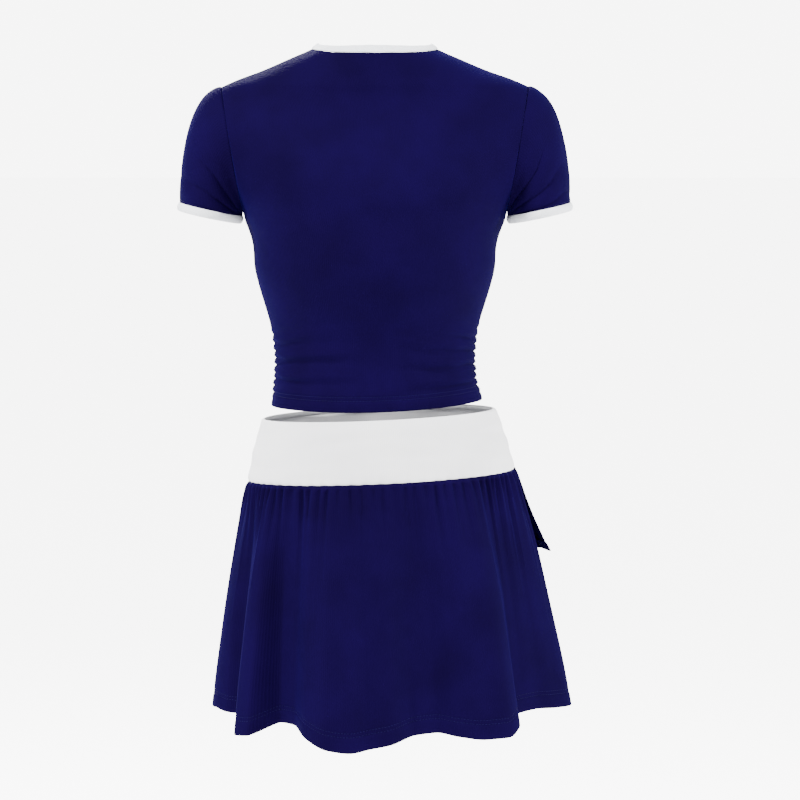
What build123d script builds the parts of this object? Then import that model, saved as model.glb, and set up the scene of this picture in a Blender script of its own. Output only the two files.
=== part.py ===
from build123d import *
from math import atan2, cos, degrees, pi, radians, sin, sqrt
import os

# Two-piece cheer uniform, filled out as worn: a crop tee and a gathered skirt with a wide waistband.
# Frame: +Z up, the wearer faces -Y, and +X is the wearer's left.  The origin is the middle of the
# waistband's top edge.  Millimetres.  Every cloth piece is a plain closed shell.

# ---- driving dimensions: cloth ----
jersey = 1.2                # jersey as modelled: a thick, pressed single knit
rib = 1.8                   # folded rib of the bindings
band_cloth = 1.6            # doubled jersey of the waistband
thread = 0.4                # how far a row of stitching stands proud
tape = 0.7                  # stay tapes, seam tapes and labels
elastic = 0.9
ply_gap = 0.3               # air between plies that are sewn together
body_gap = 0.3              # air between pieces that move on their own
seam_gap = 0.6              # the hairline that a ring of cloth leaves open at its own seam

# ---- driving dimensions: top ----
top_shift_x = 4.0           # the tee hangs this far to the wearer's left of the skirt's middle
hem_above_band = 12.0
hem_to_waist = 52.0
waist_to_bust = 125.0
bust_to_underarm = 42.0
armhole_height = 144.0
shoulder_rise = 40.0        # from the shoulder point up to the neck point
top_hem_width = 234.0
top_hem_depth = 174.0
waist_width = 227.0
waist_depth = 168.0
bust_width = 277.0
bust_depth = 232.0
underarm_width = 300.0
underarm_depth = 222.0
shoulder_width = 348.0      # armhole seam to armhole seam
shoulder_depth = 124.0
armhole_depth = 104.0
neck_point_width = 140.0    # the neck's base, side to side
neck_point_depth = 111.0
neck_drop_back = 4.0
neck_drop_front = 75.0
binding_height = 9.0

# ---- driving dimensions: sleeves ----
sleeve_out = 48.0           # how far the hem stands out past the shoulder point
sleeve_drop = 135.0         # from the shoulder point down to the outer end of the hem
cuff_tilt = 12.0            # degrees that the sleeve's hem rises towards its outer end
cuff_depth = 92.0
cuff_flare = 1.5            # the band stands this much wider than the sleeve
sleeve_steps = 5            # ovals along the sleeve

# ---- driving dimensions: skirt ----
band_height = 70.0
band_top_width = 266.0
band_top_depth = 196.0
band_foot_width = 304.0
band_foot_depth = 222.0
skirt_length = 275.0        # from the band's foot to the hem
skirt_hem_width = 400.0
skirt_hem_depth = 316.0
skirt_puff = 4.0            # how far the skirt rounds out half way down
fold_count = 11             # soft folds round the hem
fold_height = 6.0           # from the middle line of the hem to a fold's crest
tier_length = 98.0
tier_lift = 9.0             # air between the tier's hem and the skirt's front
tier_gap = 0.6              # and at the band
tier_shift = 4.0            # the tier's hem swings this far towards the wearer's right
skirt_roll = 2.6            # degrees; the skirt sits higher on the wearer's right hip

# ---- driving dimensions: trim ----
stitch_height = 0.7         # the height of one row of thread
twin_row_gap = 4.0
top_hem_turn = 13.0         # the hem rows lie this far above the edge
skirt_hem_turn = 16.0
cuff_row_up = 2.5           # the row of thread lies this far above the cuff's band
gather_length = 80.0
gather_elastic_width = 6.0
stay_tape_width = 8.0
seam_tape_width = 9.0
waist_elastic_height = 28.0
size_label_width = 26.0
size_label_drop = 20.0
care_label_width = 30.0
care_label_drop = 42.0
label_clearance = 1.5       # a label hangs this far in front of the cloth behind it

# ---- places that follow ----
hem_z = hem_above_band
waist_z = hem_z + hem_to_waist
bust_z = waist_z + waist_to_bust
underarm_z = bust_z + bust_to_underarm
shoulder_z = underarm_z + armhole_height
neck_z = shoulder_z + shoulder_rise
band_foot_z = -band_height
far = 1000.0                # half size of the cutting blocks


def mix(start, end, share):
    return start + (end - start) * share


def ease(share):
    return (1 - cos(pi * share)) / 2


def block(x=(-far, far), y=(-far, far), z=(-far, far)):
    """A box between the given limits."""
    middle = ((x[0] + x[1]) / 2, (y[0] + y[1]) / 2, (z[0] + z[1]) / 2)
    return Pos(*middle) * Box(x[1] - x[0], y[1] - y[0], z[1] - z[0])


def one_solid(shape):
    """The largest solid of a cut, so that no crumb is left beside it."""
    return max(shape.solids(), key=lambda solid: solid.volume)


def strip_face(half_width, half_depth, thickness, start, size):
    """Cloth cut across: a thin strip that follows an oval from one angle over a number of degrees."""
    arcs = []
    for inset in (0.0, thickness):
        radii = (half_width - inset, half_depth - inset)
        arcs.append(EllipticalCenterArc((0, 0), *radii, start_angle=start, arc_size=size))
    outer, inner = arcs
    return make_face([outer, Line(outer @ 1, inner @ 1), inner, Line(inner @ 0, outer @ 0)])


def half_ring(half_width, half_depth, thickness, z, side, shift_x=0.0):
    """Half of an oval ring of cloth: side is 1 for the back and -1 for the front."""
    return Pos(shift_x, 0, z) * strip_face(half_width, half_depth, thickness, 0.0 if side > 0 else 180.0, 180.0)


def sewn_ring(half_width, half_depth, thickness, seam_at):
    """A whole ring of cloth, with the hairline of its own seam at one end of its width, 0 or 180 degrees."""
    seam_half = degrees(seam_gap / 2 / half_depth)
    return strip_face(half_width, half_depth, thickness, seam_at + seam_half, 360.0 - 2 * seam_half)


def ring(half_width, half_depth, thickness, z, height, shift_x=0.0):
    """An upright oval hoop that starts at z."""
    face = Ellipse(half_width, half_depth) - Ellipse(half_width - thickness, half_depth - thickness)
    return Pos(shift_x, 0, z) * extrude(face, height)


# ---- the top's worn form ----
def chest_depth(z):
    """Front to back between the underarm and the shoulder point."""
    share = (z - underarm_z) / armhole_height
    return mix(underarm_depth, shoulder_depth, ease(share))


def armhole_point(along):
    """X and Z on the armhole's plane, from -1 at the underarm to 1 at the shoulder point."""
    share = (along + 1) / 2
    return mix(underarm_width / 2, shoulder_width / 2, share), mix(underarm_z, shoulder_z, share)


def body_rows():
    """Height, half width and half depth of the ovals from the hem up to the underarm."""
    stations = [
        (hem_z, top_hem_width / 2, top_hem_depth / 2),
        (waist_z, waist_width / 2, waist_depth / 2),
        (bust_z, bust_width / 2, bust_depth / 2),
    ]
    rows = []
    for low, high, steps in zip(stations, stations[1:], (2, 5)):
        for step in range(steps):
            share = step / steps
            rows.append((mix(low[0], high[0], share), *(mix(low[i], high[i], ease(share)) for i in (1, 2))))
    return rows + stations[-1:]


def armhole_rows():
    """Here each oval is wide enough for the armhole's plane to cut it along the sleeve's own oval."""
    rows = []
    for along in (-0.97, -0.85, -0.6, -0.2, 0.2, 0.55, 0.82, 0.96):
        cut_x, z = armhole_point(along)
        half_depth = chest_depth(z) / 2
        half_hole = armhole_depth / 2 * sqrt(1 - along ** 2)
        rows.append((z, cut_x / sqrt(1 - (half_hole / half_depth) ** 2), half_depth))
    return rows


def shoulder_rows():
    """The shoulder's slope, and a low dome inside the neck that the neck opening takes away."""
    rows = []
    for out, narrow, rise in ((0.18, 0.2, 0.14), (0.42, 0.4, 0.35), (0.76, 0.74, 0.72), (1.0, 1.0, 1.0)):
        half_width = mix(shoulder_width, neck_point_width, out) / 2
        half_depth = mix(shoulder_depth, neck_point_depth, narrow) / 2
        rows.append((mix(shoulder_z, neck_z, rise), half_width, half_depth))
    for rise, narrow in ((6.0, 8.0), (10.0, 16.0), (13.0, 27.0)):
        rows.append((neck_z + rise, neck_point_width / 2 - narrow, neck_point_depth / 2 - narrow * 0.6))
    return rows


def cloth_half(rows, side, grow=0.0, thickness=jersey):
    """The front or back half of a shell of cloth through the rows."""
    rings = [half_ring(a + grow, b + grow, thickness, z, side, top_shift_x) for z, a, b in rows]
    return loft(rings, ruled=True)


def neck_cutter(side_in=0.0, front_in=0.0, side_up=0.0, back_up=0.0):
    """What the round neckline takes away, drawn in and raised by the given amounts."""
    front_z = neck_z - neck_drop_front
    front_y = -chest_depth(front_z) / 2
    lean = degrees(atan2(neck_drop_front, -front_y))
    reach = sqrt(neck_drop_front ** 2 + front_y ** 2) - front_in
    oval = Ellipse(neck_point_width / 2 - side_in, reach)
    front_oval = oval & (Pos(0, -far / 2) * Rectangle(far, far))
    front = Pos(top_shift_x, 0, neck_z) * Rot(lean, 0, 0) * extrude(front_oval, 3 * shoulder_rise)
    back_y = neck_point_depth / 2
    fall = degrees(atan2(neck_drop_back + side_up - back_up, back_y))
    back = Rot(-fall, 0, 0) * block(x=(-neck_point_width, neck_point_width), y=(0, far), z=(0, far))
    back = Pos(top_shift_x, 0, neck_z + side_up) * back
    return front + (back & block(x=(-neck_point_width, neck_point_width), y=(0, far)))


def armhole_plane(side):
    """The plane of one armhole, facing out of the sleeve's side."""
    low_x, low_z = armhole_point(-1)
    high_x, high_z = armhole_point(1)
    lean = atan2(high_x - low_x, high_z - low_z)
    normal = Vector(side * cos(lean), 0, -sin(lean))
    middle = Vector(top_shift_x + side * (low_x + high_x) / 2, 0, (low_z + high_z) / 2)
    return Plane(origin=middle, x_dir=(0, 1, 0), z_dir=normal)


def beyond_armhole(side):
    """The room on the sleeve's side of one armhole, from just under the arm to over the shoulder."""
    return armhole_plane(side) * Pos(0, 0, far / 2) * Box(far, 1.2 * armhole_height, far)


neck_hole = neck_cutter()


def top_panel(side):
    """The front or back of the tee, cut out at the neck and the armholes."""
    cloth = cloth_half(body_rows() + armhole_rows() + shoulder_rows(), side)
    return one_solid(cloth - beyond_armhole(1) - beyond_armhole(-1) - neck_hole)


# These amounts leave a band of the binding's height inside the cut edge.
band_side_in = 0.9 * binding_height
band_front_in = 0.85 * binding_height
band_side_up = 0.67 * binding_height
band_back_up = 0.95 * binding_height
neck_inner = neck_cutter(band_side_in, band_front_in, band_side_up, band_back_up)
neck_seam = neck_cutter(ply_gap, ply_gap, ply_gap, ply_gap)


def binding():
    """The rib band, which carries on the cloth's own slope up to the neck."""
    grow = (rib - jersey) / 2
    rings = []
    for z, a, b in armhole_rows()[3:] + shoulder_rows():
        rings.append(Pos(top_shift_x, 0, z) * sewn_ring(a + grow, b + grow, rib, 0.0))
    return one_solid((loft(rings, ruled=True) & neck_seam) - neck_inner)


tape_row = shoulder_rows()[3]
tape_inset = jersey + 2 * ply_gap
tape_face = strip_face(tape_row[1] - tape_inset, tape_row[2] - tape_inset, tape, 40.0, 100.0)
tape_drop = neck_drop_back + seam_tape_width + 2.0
back_neck_tape = Pos(top_shift_x, 0, neck_z - tape_drop) * extrude(tape_face, seam_tape_width)


def side_strip(rows, width, inset, thickness, side):
    """A narrow tape that follows the inside of the cloth along the middle of the wearer's side."""
    outer = [(a - inset, z) for z, a, _ in rows]
    inner = [(x - thickness, z) for x, z in reversed(outer)]
    face = Plane.XZ * make_face(Polyline(outer + inner, close=True))
    strip = Pos(top_shift_x, width / 2, 0) * extrude(face, width)
    return strip if side > 0 else Pos(2 * top_shift_x, 0, 0) * mirror(strip, Plane.YZ)


def gather_elastic(side):
    """The elastic that ruches one side seam above the hem."""
    rows = [row for row in body_rows() if row[0] < hem_z + gather_length]
    return side_strip(rows, gather_elastic_width, jersey + 3 * ply_gap, elastic, side)


def shoulder_tape(side):
    """The stay tape under one shoulder seam."""
    rows = []
    for share in (0.1, 0.42, 0.7):
        near, middle = shoulder_rows()[1], shoulder_rows()[2]
        rows.append(tuple(mix(near[i], middle[i], share) for i in range(3)))
    lowered = [(z - jersey - 4 * ply_gap, a, b) for z, a, b in rows]
    return side_strip(lowered, stay_tape_width, jersey, tape, side)


def hoop_rows(half_width, half_depth, z, **place):
    """Two rows of thread that lie on an oval of cloth."""
    grow = thread + ply_gap
    hoops = []
    for up in (0.0, twin_row_gap):
        hoops.append(ring(half_width + grow, half_depth + grow, thread, z + up, stitch_height, **place))
    return Compound(hoops)


top_hem_stitching = hoop_rows(top_hem_width / 2, top_hem_depth / 2, hem_z + top_hem_turn, shift_x=top_shift_x)


# ---- sleeves ----
def sleeve_sections(side):
    """The inner and outer end of each sleeve oval, from the armhole round to the hem."""
    low_x, low_z = armhole_point(-1)
    high_x, high_z = armhole_point(1)
    hem_out = (shoulder_width / 2 + sleeve_out, shoulder_z - sleeve_drop)
    hem_width = (hem_out[0] - low_x) / cos(radians(cuff_tilt))
    hem_in = (low_x, hem_out[1] - hem_width * sin(radians(cuff_tilt)))
    sections = []
    for step in range(sleeve_steps + 1):
        share = step / sleeve_steps
        turn = share * pi / 2
        # the shoulder's curve is a quarter of an oval from the shoulder point to the hem
        out_x = high_x + (hem_out[0] - high_x) * sin(turn)
        out_z = hem_out[1] + (high_z - hem_out[1]) * cos(turn)
        in_x = low_x + share
        in_z = mix(low_z, hem_in[1], share)
        half_depth = mix(armhole_depth, cuff_depth, share) / 2
        gap = Vector(side * body_gap, 0, 0)
        sections.append((Vector(side * in_x, 0, in_z) + gap, Vector(side * out_x, 0, out_z) + gap, half_depth))
    return sections


def sleeve_plane(section, side):
    """The plane of one oval: its middle, its long way, and down the arm."""
    inner, outer, _ = section
    middle = (inner + outer) * 0.5 + Vector(top_shift_x, 0, 0)
    along = (outer - inner).normalized()
    return Plane(origin=middle, x_dir=along, z_dir=along.cross(Vector(0, 1, 0)) * -side)


def sleeve_ring(section, side, thickness, grow=0.0, down=0.0):
    """The cloth across one oval, with its seam under the arm, grown or moved down the arm."""
    inner, outer, half_depth = section
    half_length = (outer - inner).length / 2
    face = sewn_ring(half_length + grow, half_depth + grow, thickness, 180.0)
    return sleeve_plane(section, side) * Pos(0, 0, down) * face


def cuff_hoop(side, outside, thickness, start, height):
    """A hoop across the sleeve's hem, measured down the arm from the end of the cloth."""
    hem = sleeve_sections(side)[-1]
    return loft([sleeve_ring(hem, side, thickness, outside, down) for down in (start, start + height)])


def sleeve(side):
    return loft([sleeve_ring(section, side, jersey) for section in sleeve_sections(side)])


def cuff_binding(side):
    return cuff_hoop(side, cuff_flare, rib, 0.0, binding_height)


def cuff_stitching(side):
    return cuff_hoop(side, thread + 3 * ply_gap, thread, -cuff_row_up, stitch_height)


# ---- waistband ----
def band_row(z):
    """Height, half width and half depth of the band's cone."""
    share = -z / band_height
    return z, mix(band_top_width, band_foot_width, share) / 2, mix(band_top_depth, band_foot_depth, share) / 2


def band_layer(start, thickness, top=0.0, foot=band_foot_z):
    """One inner ply of the band, counted inwards from its outer face, with its seam at the left."""
    rings = []
    for z, half_width, half_depth in (band_row(top), band_row(foot)):
        rings.append(Pos(0, 0, z) * sewn_ring(half_width - start, half_depth - start, thickness, 0.0))
    return loft(rings)


def band_half(side):
    """The outer ply of the band's front or back."""
    return loft([half_ring(a, b, band_cloth, z, side) for z, a, b in (band_row(0.0), band_row(band_foot_z))])


elastic_start = band_cloth + ply_gap
facing_start = elastic_start + elastic + ply_gap


# ---- skirt ----
def skirt_half_ring(share, side, grow=0.0, shift_x=0.0, thickness=jersey):
    """Half of the skirt's wavy oval: share runs from 0 at the band's foot to 1 at the hem."""
    puff = skirt_puff * sin(pi * share)
    steps = 2 * fold_count
    lines = []
    for inset in (0.0, thickness):
        half_width = mix(band_foot_width, skirt_hem_width, share) / 2 + puff + grow - inset
        half_depth = mix(band_foot_depth, skirt_hem_depth, share) / 2 + puff + grow - inset
        points = []
        for step in range(steps + 1):
            turn = side * pi * step / steps
            wave = fold_height * share * cos(fold_count * turn)
            points.append(((half_width + wave) * cos(turn), (half_depth + wave) * sin(turn)))
        lines.append(Spline(points))
    outer, inner = lines
    face = make_face([outer, Line(outer @ 1, inner @ 1), inner, Line(inner @ 0, outer @ 0)])
    return Pos(shift_x, 0, band_foot_z - ply_gap - share * (skirt_length - ply_gap)) * face


def skirt_panel(side):
    return loft([skirt_half_ring(share, side) for share in (0.0, 0.35, 0.7, 1.0)])


def tier_ring(share, grow=0.0, thickness=jersey):
    """The front tier stands off the skirt, further out towards its own hem."""
    lift = mix(tier_gap + jersey, tier_lift + jersey, share)
    return skirt_half_ring(share * tier_length / skirt_length, -1, lift + grow, -tier_shift * share, thickness)


def thread_rows(rings):
    return Compound([extrude(face, stitch_height) for face in rings])


def skirt_hem_share(up):
    """The share of the skirt's length that lies this far above its hem."""
    return 1 - up / skirt_length


proud = thread + ply_gap
hem_rings = []
tier_rings = []
for up in (skirt_hem_turn, skirt_hem_turn + twin_row_gap):
    for side in (1, -1):
        hem_rings.append(skirt_half_ring(skirt_hem_share(up), side, proud, 0.0, thread))
    tier_rings.append(tier_ring(1 - up / tier_length, proud, thread))

seam_inset = jersey + 2 * ply_gap
waist_seam_tape = ring(
    band_foot_width / 2 - seam_inset,
    band_foot_depth / 2 - seam_inset,
    tape,
    band_foot_z - seam_tape_width,
    seam_tape_width - ply_gap,
)


# ---- labels ----
def label(width, drop, back_y, top_z, shift_x=0.0):
    """A label that hangs from its sewn upper edge."""
    return block(x=(shift_x - width / 2, shift_x + width / 2), y=(back_y - tape, back_y), z=(top_z - drop, top_z))


size_label_top = neck_z - tape_drop
size_label_y = tape_row[2] - tape_inset - tape - label_clearance
care_label_top = band_foot_z - 1.0
care_label_y = band_foot_depth / 2 - seam_inset - tape - label_clearance


# ---- every sub-part in its own file ----
top_pieces = {
    "top_back_panel": top_panel(1),
    "top_front_panel": top_panel(-1),
    "neck_binding": binding(),
    "back_neck_tape": back_neck_tape,
    "left_shoulder_tape": shoulder_tape(1),
    "right_shoulder_tape": shoulder_tape(-1),
    "left_gather_elastic": gather_elastic(1),
    "right_gather_elastic": gather_elastic(-1),
    "top_hem_stitching": top_hem_stitching,
    "size_label": label(size_label_width, size_label_drop, size_label_y, size_label_top, top_shift_x),
}
for name, side in (("left", 1), ("right", -1)):
    top_pieces[f"{name}_sleeve"] = sleeve(side)
    top_pieces[f"{name}_cuff_binding"] = cuff_binding(side)
    top_pieces[f"{name}_cuff_stitching"] = cuff_stitching(side)
skirt_pieces = {
    "waistband_back": band_half(1),
    "waistband_front": band_half(-1),
    "waistband_facing": band_layer(facing_start, band_cloth),
    "waist_elastic": band_layer(elastic_start, elastic, top=-1.0, foot=-1.0 - waist_elastic_height),
    "skirt_back_panel": skirt_panel(1),
    "skirt_front_panel": skirt_panel(-1),
    "front_tier": loft([tier_ring(share) for share in (0.0, 0.5, 1.0)]),
    "skirt_hem_stitching": thread_rows(hem_rings),
    "tier_hem_stitching": thread_rows(tier_rings),
    "waist_seam_tape": waist_seam_tape,
    "care_label": label(care_label_width, care_label_drop, care_label_y, care_label_top),
}
roll = Rot(0, skirt_roll, 0)
pieces = top_pieces | {name: roll * piece for name, piece in skirt_pieces.items()}
os.makedirs("parts", exist_ok=True)
for name, piece in pieces.items():
    export_step(piece, f"parts/{name}.step")
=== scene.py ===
import bisect
import functools
import math

import bmesh
import bpy
from mathutils import Matrix, Vector, noise


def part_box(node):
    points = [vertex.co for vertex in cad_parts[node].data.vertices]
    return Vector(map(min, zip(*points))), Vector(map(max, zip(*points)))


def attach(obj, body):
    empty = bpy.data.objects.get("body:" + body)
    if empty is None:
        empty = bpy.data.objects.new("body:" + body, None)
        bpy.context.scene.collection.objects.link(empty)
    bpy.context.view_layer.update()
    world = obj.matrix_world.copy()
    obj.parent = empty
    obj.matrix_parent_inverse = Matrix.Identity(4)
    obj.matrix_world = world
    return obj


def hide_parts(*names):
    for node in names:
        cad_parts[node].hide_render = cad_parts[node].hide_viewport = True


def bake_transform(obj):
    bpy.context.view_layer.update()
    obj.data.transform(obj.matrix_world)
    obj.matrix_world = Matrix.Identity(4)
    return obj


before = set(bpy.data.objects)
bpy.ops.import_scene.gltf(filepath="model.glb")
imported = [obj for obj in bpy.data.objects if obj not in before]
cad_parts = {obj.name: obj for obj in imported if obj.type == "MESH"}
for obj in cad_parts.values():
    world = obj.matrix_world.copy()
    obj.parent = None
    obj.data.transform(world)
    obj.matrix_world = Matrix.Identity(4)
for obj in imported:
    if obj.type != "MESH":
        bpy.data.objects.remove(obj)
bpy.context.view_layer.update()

# A two-piece cheer uniform, filled out as worn.  Everything is in metres, in the frame's own axes:
# +Z up, the wearer faces -Y, +X is the wearer's left, and the origin is the middle of the waistband's top.

MM = 0.001

# ---- cloth, as cut and sewn ----
jersey = 1.1 * MM
rib_thick = 2.3 * MM
band_cloth = 1.4 * MM
binding_width = 9 * MM
hem_turn = 13 * MM
skirt_hem_turn = 16 * MM
tier_hem_turn = 12 * MM
twin_gap = 4 * MM
stitch_pitch = 3.6 * MM

# ---- the tee's worn form ----
tee_shift = 4 * MM
hem_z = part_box("top_front_panel")[0].z
waist_z = hem_z + 52 * MM
bust_z = waist_z + 125 * MM
underarm_z = bust_z + 42 * MM
shoulder_z = underarm_z + 144 * MM
neck_z = shoulder_z + 40 * MM
hem_size = (117 * MM, 87 * MM)
waist_size = (113.5 * MM, 84 * MM)
bust_size = (138.5 * MM, 116 * MM)
underarm_size = (150 * MM, 111 * MM)
shoulder_size = (174 * MM, 62 * MM)
neck_size = (70 * MM, 55.5 * MM)
armhole_half_depth = 52 * MM
neck_drop_back = 4 * MM
neck_drop_front = 75 * MM

# ---- sleeves ----
cuff_out = (222 * MM, 240 * MM + hem_z - 12 * MM)
cuff_tilt = math.radians(12)
cuff_half_depth = 46 * MM

# ---- skirt ----
roll = math.radians(2.6)
band_height = 70 * MM
band_top = (133 * MM, 98 * MM)
band_foot = (152 * MM, 111 * MM)
skirt_length = 275 * MM
skirt_hem = (200 * MM, 158 * MM)
tier_length = 98 * MM


def mix(start, end, share):
    return start + (end - start) * share


def ease(share):
    share = min(max(share, 0.0), 1.0)
    return (1 - math.cos(math.pi * share)) / 2


def bell(value, middle, width):
    return math.exp(-((value - middle) / width) ** 2)


def through(rows):
    """A smooth curve through rows of (place, value, value...), with no overshoot between them."""
    places = [row[0] for row in rows]
    columns = list(zip(*rows))[1:]
    slopes = []
    for values in columns:
        steps = [(values[i + 1] - values[i]) / (places[i + 1] - places[i]) for i in range(len(rows) - 1)]
        inner = [0.0 if a * b <= 0 else 2 * a * b / (a + b) for a, b in zip(steps, steps[1:])]
        slopes.append([steps[0]] + inner + [steps[-1]])

    def at(place):
        i = min(max(bisect.bisect_right(places, place) - 1, 0), len(places) - 2)
        span = places[i + 1] - places[i]
        t = min(max((place - places[i]) / span, 0.0), 1.0)
        out = []
        for values, slope in zip(columns, slopes):
            start = (2 * t ** 3 - 3 * t ** 2 + 1) * values[i] + (t ** 3 - 2 * t ** 2 + t) * span * slope[i]
            end = (3 * t ** 2 - 2 * t ** 3) * values[i + 1] + (t ** 3 - t ** 2) * span * slope[i + 1]
            out.append(start + end)
        return out

    return at


# ---------------------------------------------------------------- the worn form of the tee
def armhole_point(along):
    share = (along + 1) / 2
    return mix(underarm_size[0], shoulder_size[0], share), mix(underarm_z, shoulder_z, share)


def chest_depth(z):
    return mix(underarm_size[1], shoulder_size[1], ease((z - underarm_z) / (shoulder_z - underarm_z)))


def torso_rows():
    """Height, half width and half depth.  Between underarm and shoulder the armhole's plane cuts an oval."""
    rows = [(hem_z - 0.03, *hem_size), (hem_z, *hem_size)]
    stretches = ((hem_size, waist_size, hem_z, waist_z, 3), (waist_size, bust_size, waist_z, bust_z, 6))
    for low, high, z0, z1, steps in stretches:
        for step in range(1, steps + 1):
            share = step / steps
            rows.append((mix(z0, z1, share), mix(low[0], high[0], ease(share)),
                         mix(low[1], high[1], ease(share))))
    for along in (-0.97, -0.9, -0.75, -0.5, -0.2, 0.1, 0.4, 0.65, 0.82, 0.92, 0.97):
        cut_x, z = armhole_point(along)
        hole = armhole_half_depth * math.sqrt(1 - along ** 2)
        depth = chest_depth(z)
        rows.append((z, cut_x / math.sqrt(1 - (hole / depth) ** 2), depth))
    for out, narrow, rise in ((0.18, 0.2, 0.14), (0.42, 0.4, 0.35), (0.76, 0.74, 0.72), (1.0, 1.0, 1.0)):
        half_depth = mix(shoulder_size[1], neck_size[1], narrow)
        rows.append((mix(shoulder_z, neck_z, rise), mix(shoulder_size[0], neck_size[0], out), half_depth))
    for rise, narrow in ((6, 8), (10, 16), (13, 27)):
        rows.append((neck_z + rise * MM, neck_size[0] - narrow * MM, neck_size[1] - narrow * 0.6 * MM))
    return rows


torso_at = through(torso_rows())


# The creases that the elastic in each side seam draws up: height above the hem, how fast the crease
# climbs as it runs away from the seam, how far it runs, and its depth.  Millimetres.
creases = {
    1: [(8, 0.05, 30, 1.2), (15, -0.03, 70, 2.2), (22, 0.10, 40, 2.6), (30, 0.02, 150, 2.7),
        (37, -0.10, 45, 2.4), (45, 0.09, 120, 2.8), (53, 0.03, 190, 2.4), (60, 0.20, 55, 2.4),
        (69, 0.06, 100, 1.8), (79, 0.16, 60, 1.1)],
    -1: [(9, -0.02, 35, 1.3), (17, 0.08, 60, 2.4), (25, -0.04, 160, 2.6), (32, 0.12, 50, 2.6),
         (41, 0.04, 130, 2.9), (48, -0.06, 60, 2.3), (56, 0.10, 170, 2.5), (64, 0.24, 60, 2.2),
         (73, 0.08, 110, 1.6), (83, 0.2, 50, 0.9)],
}


def ruching(theta, z):
    """Small hard creases at the side seams; some of them run on as long soft ones across the body."""
    up = z - hem_z
    if up > 130 * MM:
        return 0.0
    away = abs(math.asin(min(abs(math.sin(theta)), 1.0))) * 0.1
    front = 0.0 if math.sin(theta) > 0 else 1.7 * MM
    relief = 0.9 * MM * math.exp(-away / (30 * MM)) * ease((96 * MM - up) / (30 * MM))
    if math.cos(theta) < 0:
        relief += 4 * MM * ease((26 * MM - up) / (24 * MM)) * math.exp(-away / (60 * MM))
    fade = ease((152 * MM - away) / (45 * MM))
    for height, climb, run, depth in creases[1 if math.cos(theta) > 0 else -1]:
        wander = 2.2 * MM * noise.noise(Vector((away * 28, height * 0.7, front * 900)))
        line = (height * MM + front) + climb * away + wander * ease(away / (25 * MM))
        width = 2.5 * MM + away * 0.02
        bite = depth * MM * math.exp(-away / (run * MM)) * fade
        relief += bite * (0.5 * bell(up, line + 1.6 * width, width) - bell(up, line, width))
    return relief


def underarm_pull(theta, z):
    """Slack that runs from the underarm in towards the body."""
    side_angle = math.asin(min(abs(math.sin(theta)), 1.0))
    drop = (underarm_z + 12 * MM - z) + side_angle * 0.05
    wave = math.sin(drop / (12 * MM) + 1.4 * noise.noise(Vector((side_angle * 3, z * 9, math.cos(theta)))))
    zone = math.exp(-(side_angle / 0.55) ** 2) * bell(z, underarm_z - 6 * MM, 38 * MM)
    return 1.3 * MM * wave * zone


def torso_relief(theta, z):
    """How far the cloth stands off the plain oval form."""
    back = math.sin(theta) > 0
    across = math.cos(theta)
    relief = ruching(theta, z) + underarm_pull(theta, z)
    relief += 0.7 * MM * noise.noise(Vector((across * 5, z * 9, 4.2 if back else 9.7)))
    if back:
        blades = bell(abs(across), 0.36, 0.2) * bell(z, 305 * MM, 52 * MM)
        spine = bell(across, 0.0, 0.13) * bell(z, 190 * MM, 120 * MM)
        relief += (4 * MM * blades - 4.5 * MM * spine
                   - 6 * MM * abs(math.sin(theta)) * bell(z, 180 * MM, 70 * MM))
    else:
        bust = bell(abs(across), 0.5, 0.27) * bell(z, 208 * MM, 42 * MM)
        between = bell(across, 0.0, 0.17) * bell(z, 208 * MM, 34 * MM)
        relief += 13 * MM * bust + 2 * MM * between
    return relief


def settled(point):
    """The cloth lies rounded over the shoulder's end, and a little lower on the wearer's left."""
    x = point.x - tee_shift
    high = ease((point.z - 318 * MM) / (48 * MM))
    point.z -= (2.8 * MM * bell(abs(x), 181 * MM, 19 * MM)
                + 0.8 * MM * ease((x - 90 * MM) / (80 * MM))) * high
    return point


def torso_point(theta, z, out=0.0, relief=True):
    a, b = torso_at(z)
    normal = Vector((math.cos(theta) / a, math.sin(theta) / b, 0)).normalized()
    x = a * math.cos(theta)
    y = b * math.sin(theta)
    by_the_sleeve = 0.0
    if z > underarm_z - 14 * MM:
        cut_x = mix(underarm_size[0], shoulder_size[0], (z - underarm_z) / (shoulder_z - underarm_z))
        by_the_sleeve = (1 - ease((cut_x - abs(x)) / (14 * MM))) * ease((z - underarm_z) / (14 * MM) + 1)
    stand = out + (torso_relief(theta, z) * (1 - by_the_sleeve) if relief else 0.0)
    # the top of the form is a shallow slope, so there the cloth's thickness is laid upwards instead
    slope = ease((z - shoulder_z + 6 * MM) / (22 * MM))
    dip = 4 * MM * max(math.sin(theta), 0.0) ** 2
    level = (-0.028 * x - dip) * (1 - ease((z - hem_z) / (150 * MM)))
    lift = stand * slope * 0.8
    side = stand * (1 - slope * 0.4)
    return settled(Vector((x + tee_shift + normal.x * side, y + normal.y * side, z + lift + level)))


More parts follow.
